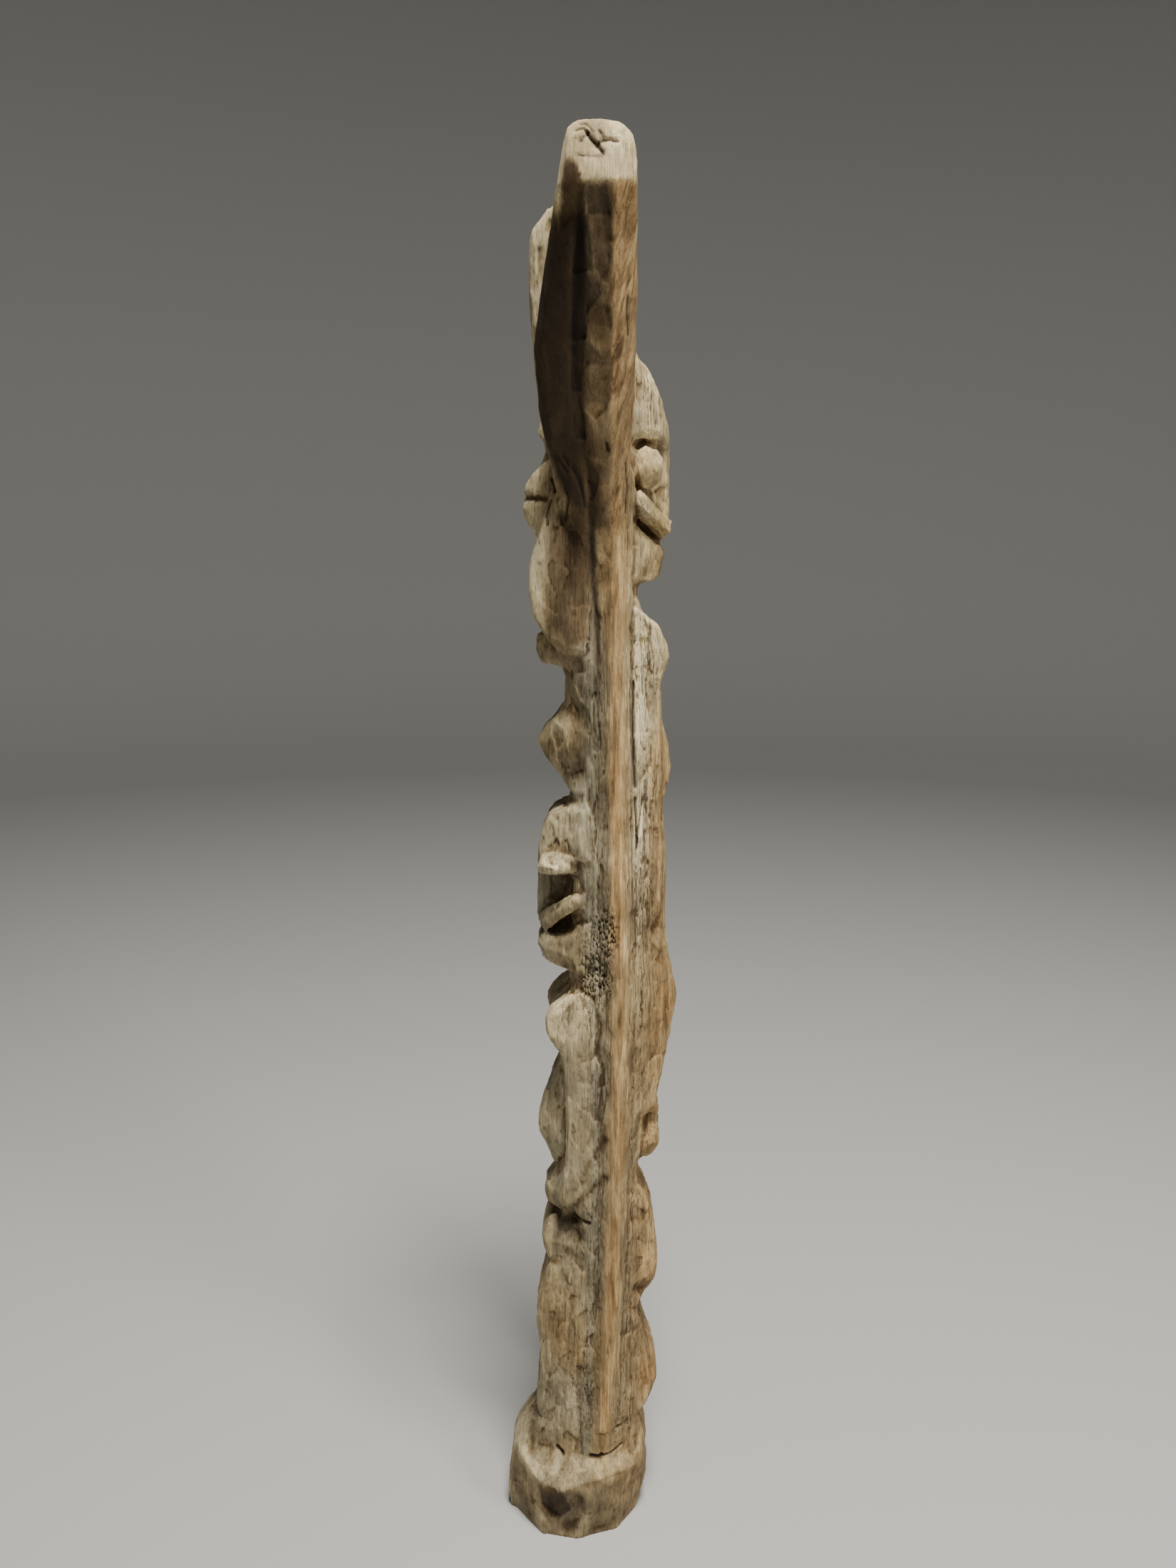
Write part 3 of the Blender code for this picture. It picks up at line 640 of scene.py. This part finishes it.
# Browner wood: the prow's underside is partly stained and partly painted shade, most where it faces
# the viewer; the left arm and the chest under the prow get painted shadow of the prow, and the
# scoop in the foot's front painted shade. The calf, the foot's front and a few patches are simply
# darker.
brown_and_painted_shade = (0.8 + 0.2 * left_of_groove) * prow_mask * (1 - 0.78 * right_chamfer) * (1 - end_mask)
brown_and_painted_shade *= under_prow
brown_and_painted_shade += leaf * np.clip(0.98 + 0.022 * x, 0, 0.95)
brown_and_painted_shade += 0.35 * within(place, [(-15, 374), (2.5, 372.5), (3.5, 361), (-2, 355), (-10, 366)], 1.2)
brown_and_painted_shade += patches((0.4, 30, 95, 7, 18), (0.3, 0.5, 376, 4, 12), (0.35, 2, 478, 9, 16))
brown_and_painted_shade += 0.95 * scoop + (1 - scoop) * foot_front * (0.36 + 0.5 * spread(place + 12, (9, 9, 7)))

grey = 0.25 + 0.8 * strips * (across_ridge < 0) + 0.2 * strips + 0.9 * wavy - 0.012 * (x - 5)
grey = np.clip(grey, 0, 1) * (1 - 0.9 * prow_mask)

# Paler wood and painted light: the prow's end is paler end grain with painted light on it, the
# strips right of the ridge are paler wood, and the patches on the left lips in the prow's shadow,
# on the left arm's edge and on the faces and forms that stand out, and the foot's upward faces, are
# painted light.
pale_and_painted_light = 0.55 * end_mask * prow_mask + 1.1 * bell(x + 20, 6) * bell(z - 476, 18)
pale_and_painted_light += patches((0.7, -6, 252, 11, 18), (0.8, 30, 418, 10, 18), (0.5, -9, 205, 8, 22),
                (0.6, -17, 445, 4, 22), (0.8, -12, 383, 6, 8), (0.8, 30, 512, 12, 22),
                (0.95, -8, 333, 12, 14))
pale_and_painted_light += 0.95 * strips * (across_ridge > 5) * np.clip((z - 250) / 90, 0.25, 1)
pale_and_painted_light += 0.3 * np.clip(2 * facing[:, 2], 0, 1) * foot_mask * (1 - foot_front)
pale_and_painted_light += 0.5 * (x < -10) * (z > 500)

shaded = left_of_groove * prow_mask * (1 - end_mask) * under_prow + 0.6 * scoop
# Painted shade in the hollows and painted highlight on the edges, weaker on the prow.
hollow_shade_and_edge_light = 0.5 + (0.55 * hollow_wide + 0.85 * hollow_fine) * (1 - 0.55 * prow_mask)
for name, values in (
    ("orange", orange),
    ("brown_and_painted_shade", brown_and_painted_shade),
    ("grey", grey),
    ("pale_and_painted_light", pale_and_painted_light),
    ("shaded", shaded),
    ("hollow_shade_and_edge_light", hollow_shade_and_edge_light),
    ("chip_painted_light_shade", 0.5 + 0.5 * chip_light_and_shade),
    # Painted shade inside the fissures and the ridge's furrows, and inside the cracks, the worm
    # holes, the left furrow and the cavity over the left leg.
    ("fissure", fissures * 0.85 + 0.5 * np.clip(furrows, 0, 1)),
    ("crack", cracks + 0.9 * holes + 0.6 * left_furrow + 0.9 * cavity),
    ("weather", weathered * (0.4 + 0.6 * lengthwise)),
    ("facet", facet_tone),
):
    layer = pillar.data.attributes.new(name, "FLOAT", "POINT")
    layer.data.foreach_set("value", np.clip(values, 0, 1).astype(np.float32))

KEPT_TRIANGLES = 196000
triangles = sum(len(face.vertices) - 2 for face in pillar.data.polygons)
reshape(pillar, "DECIMATE", ratio=KEPT_TRIANGLES / triangles)


# The wood's finish: dry and never varnished. The painted tones are mixed over bare wood, darkened
# by fine grain lines, hair cracks, specks and painted shade in the fissures, cracks and holes;
# the grain lines, hair cracks and specks also roughen its surface.
def mixed(tree, share, first, second, blend="MIX"):
    """The second colour over the first; each value is a plain one or another node's output."""
    made = tree.nodes.new("ShaderNodeMix")
    made.data_type = "RGBA"
    made.blend_type = blend
    factor, under, over = (made.inputs[index] for index in (0, 6, 7))  # its sockets for colours
    for socket, value in ((factor, share), (under, first), (over, second)):
        if hasattr(value, "is_output"):
            tree.links.new(value, socket)
        else:
            socket.default_value = value
    return made.outputs[2]


def stretched_noise(tree, coords, scale, detail, rough=0.6, warp=0.0):
    """Noise with its own number of waves a metre along x, y and z."""
    mapping = tree.nodes.new("ShaderNodeMapping")
    mapping.inputs["Scale"].default_value = scale
    tree.links.new(coords, mapping.inputs["Vector"])
    made = tree.nodes.new("ShaderNodeTexNoise")
    made.inputs["Scale"].default_value = 1.0
    made.inputs["Detail"].default_value = detail
    made.inputs["Roughness"].default_value = rough
    made.inputs["Distortion"].default_value = warp
    tree.links.new(mapping.outputs["Vector"], made.inputs["Vector"])
    return made.outputs["Fac"]


def ramp(tree, value, stops):
    """Turns a value into the colours or greys of its (position, colour) stops."""
    made = tree.nodes.new("ShaderNodeValToRGB")
    while len(made.color_ramp.elements) > 1:
        made.color_ramp.elements.remove(made.color_ramp.elements[-1])
    for index, (position, colour) in enumerate(stops):
        stop = made.color_ramp.elements[0] if index == 0 else made.color_ramp.elements.new(position)
        stop.position = position
        stop.color = (*colour, 1.0) if isinstance(colour, tuple) else (colour, colour, colour, 1.0)
    tree.links.new(value, made.inputs["Fac"])
    return made.outputs["Color"]


def painted(tree, name):
    """The share painted under this name."""
    made = tree.nodes.new("ShaderNodeAttribute")
    made.attribute_name = name
    return made.outputs["Fac"]


def times(tree, first, second):
    """Product of two node outputs."""
    made = tree.nodes.new("ShaderNodeMath")
    made.operation = "MULTIPLY"
    tree.links.new(first, made.inputs[0])
    tree.links.new(second, made.inputs[1])
    return made.outputs[0]


wood = bpy.data.materials.new("weathered_wood")
wood.use_nodes = True
tree = wood.node_tree
shader = tree.nodes["Principled BSDF"]
coords = tree.nodes.new("ShaderNodeTexCoord").outputs["Object"]
blotches = stretched_noise(tree, coords, (60, 60, 30), detail=6)
streaks = stretched_noise(tree, coords, (360, 360, 32), detail=9, rough=0.72, warp=0.5)
hairs = stretched_noise(tree, coords, (1500, 1500, 110), detail=6, rough=0.75, warp=0.8)
specks = stretched_noise(tree, coords, (1100, 1100, 600), detail=4, rough=0.8)
splits = stretched_noise(tree, coords, (520, 520, 11), detail=3, rough=0.5, warp=0.8)

bare = ramp(tree, blotches, [
    (0.34, (0.24, 0.165, 0.075)), (0.5, (0.37, 0.275, 0.14)), (0.66, (0.48, 0.385, 0.215))])
pale_tone = ramp(tree, blotches, [
    (0.34, (0.44, 0.37, 0.22)), (0.5, (0.60, 0.52, 0.335)), (0.66, (0.72, 0.64, 0.44))])
grey_tone = ramp(tree, blotches, [
    (0.34, (0.17, 0.15, 0.095)), (0.5, (0.28, 0.25, 0.17)), (0.66, (0.39, 0.355, 0.25))])
orange_tone = ramp(tree, streaks, [
    (0.36, (0.18, 0.10, 0.037)), (0.47, (0.325, 0.20, 0.082)), (0.58, (0.445, 0.30, 0.145)),
    (0.68, (0.56, 0.46, 0.27))])
brown_tone = ramp(tree, blotches, [
    (0.3, (0.06, 0.037, 0.016)), (0.5, (0.105, 0.068, 0.032)), (0.7, (0.17, 0.115, 0.06))])
colour = bare
for name, tone in (
    ("grey", grey_tone), ("pale_and_painted_light", pale_tone), ("orange", orange_tone), ("brown_and_painted_shade", brown_tone),
):
    colour = mixed(tree, painted(tree, name), colour, tone)

# Multiplied over: painted shade out of the light, painted light and shade on the prow's chips, the
# strokes' own tones, the grain, and painted shade in the hollows with painted highlight on the
# edges.
for share, value, stops in (
    (1.0, painted(tree, "shaded"), [(0.0, 1.0), (1.0, (0.36, 0.33, 0.26))]),
    (1.0, painted(tree, "chip_painted_light_shade"), [(0.0, 0.3), (0.5, 0.95), (1.0, 1.9)]),
    (1.0, painted(tree, "facet"), [(0.0, 0.78), (1.0, 1.18)]),
    (0.85, streaks, [(0.34, (0.5, 0.44, 0.36)), (0.46, (0.93, 0.91, 0.88)),
                     (0.62, (1.18, 1.16, 1.12))]),
    (1.0, hairs, [(0.34, (0.42, 0.37, 0.3)), (0.45, 0.94), (0.62, 1.16)]),
    (1.0, painted(tree, "hollow_shade_and_edge_light"), [(0.2, (1.25, 1.24, 1.2)), (0.5, 1.0),
                                    (0.75, (0.62, 0.54, 0.44)), (1.0, (0.26, 0.19, 0.13))]),
):
    colour = mixed(tree, share, colour, ramp(tree, value, stops), "MULTIPLY")

weather = painted(tree, "weather")
pits = times(tree, ramp(tree, specks, [(0.33, 1.0), (0.39, 0.0)]), weather)
split_lines = ramp(tree, splits, [(0.485, 0.0), (0.5, 1.0), (0.515, 0.0)])
split_share = times(tree, split_lines, weather)
# Dark marks: specks and hair cracks in the weathered wood, then painted shade in the fissures,
# furrows, cracks, holes and the cavity.
for share, ink in (
    (pits, (0.07, 0.048, 0.028, 1)),
    (split_share, (0.10, 0.07, 0.04, 1)),
    (painted(tree, "fissure"), (0.11, 0.078, 0.045, 1)),
    (painted(tree, "crack"), (0.05, 0.034, 0.02, 1)),
):
    colour = mixed(tree, share, colour, ink)
tree.links.new(colour, shader.inputs["Base Color"])

roughness = tree.nodes.new("ShaderNodeMapRange")
roughness.inputs["To Min"].default_value = 0.6
roughness.inputs["To Max"].default_value = 0.95
tree.links.new(streaks, roughness.inputs["Value"])
tree.links.new(roughness.outputs["Result"], shader.inputs["Roughness"])
shader.inputs["Specular IOR Level"].default_value = 0.3

height = mixed(tree, 0.5, hairs, specks)
height = mixed(tree, 0.4, height, streaks)
height = mixed(tree, split_share, height, (0, 0, 0, 1))
bump = tree.nodes.new("ShaderNodeBump")
bump.inputs["Strength"].default_value = 0.9
bump.inputs["Distance"].default_value = 0.0011
tree.links.new(height, bump.inputs["Height"])
tree.links.new(bump.outputs["Normal"], shader.inputs["Normal"])

pillar.data.materials.append(wood)
pick(pillar)
bpy.ops.object.shade_smooth()
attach(pillar, "root")
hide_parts("carved_pillar")


# The floor: a plain pale sheet of studio paper, laid flat and curved up far away on all sides
# like a bowl, so that no edge of it shows behind the pillar.
FLOOR_REACH = 2.2
RIM = ((0.03, 1.12), (0.08, 1.09), (0.14, 1.06), (0.22, 1.04), (0.32, 1.02), (1.6, 1.01))
bpy.ops.mesh.primitive_circle_add(vertices=96, radius=FLOOR_REACH, fill_type="NGON")
floor = bpy.context.object
floor.name = "floor"
bpy.ops.object.mode_set(mode="EDIT")
bpy.ops.mesh.select_mode(type="EDGE")
bpy.ops.mesh.select_all(action="SELECT")
bpy.ops.mesh.region_to_loop()
for climb, growth in RIM:
    bpy.ops.mesh.extrude_region_move(TRANSFORM_OT_translate={"value": (0, 0, climb)})
    bpy.ops.transform.resize(value=(growth, growth, 1), center_override=(0, 0, 0))
bpy.ops.mesh.select_all(action="SELECT")
bpy.ops.mesh.normals_make_consistent(inside=True)
bpy.ops.object.mode_set(mode="OBJECT")
bpy.ops.object.shade_smooth()
paper = bpy.data.materials.new("pale_paper")
paper.use_nodes = True
matte = paper.node_tree.nodes["Principled BSDF"]
matte.inputs["Base Color"].default_value = (0.50, 0.495, 0.48, 1)
matte.inputs["Roughness"].default_value = 0.9
floor.data.materials.append(paper)


# Light: as in the photograph, a soft lamp high in front and a weaker one at the right, both
# warm, with a faint cool one at the left and an even grey all round.
LIT_HEIGHT = 0.32  # all lamps point at this height on the log
WARM, COOL = (1.0, 0.97, 0.91), (0.9, 0.95, 1.0)


def soft_light(name, place, size, power, colour):
    """A square lamp of this size in metres and power in watts, aimed at the log."""
    lamp = bpy.data.lights.new(name, "AREA")
    lamp.size = size
    lamp.energy = power
    lamp.color = colour
    stand = bpy.data.objects.new(name, lamp)
    bpy.context.scene.collection.objects.link(stand)
    stand.location = place
    aim = Vector((0, 0, LIT_HEIGHT)) - Vector(place)
    stand.rotation_euler = aim.to_track_quat("-Z", "Y").to_euler()


soft_light("overhead", (0.12, -0.42, 1.55), 0.30, 33, WARM)
soft_light("window", (0.75, -0.70, 0.85), 0.30, 6, WARM)
soft_light("fill", (-1.2, -1.0, 0.7), 1.2, 1, COOL)
world = bpy.data.worlds.new("studio")
bpy.context.scene.world = world
world.use_nodes = True
surround = world.node_tree.nodes["Background"]
surround.inputs["Color"].default_value = (0.80, 0.80, 0.80, 1)
surround.inputs["Strength"].default_value = 0.12


# The camera stands half a metre in front, a little right of the middle and at three quarters of
# the pillar's height, tipped 10 degrees down. Its lens is told from the photograph's perspective.
PHOTO_TALL = 2200
FOCAL_PIXELS = 1652
SENSOR = 36
lens = bpy.data.cameras.new("photo_view")
lens.sensor_width = SENSOR
lens.lens = SENSOR * FOCAL_PIXELS / PHOTO_TALL
lens.clip_start = 0.02
camera = bpy.data.objects.new("photo_view", lens)
bpy.context.scene.collection.objects.link(camera)
camera.location = (0.0043, -0.510, 0.444)
camera.rotation_euler = (math.radians(80), 0, 0)
bpy.context.scene.camera = camera
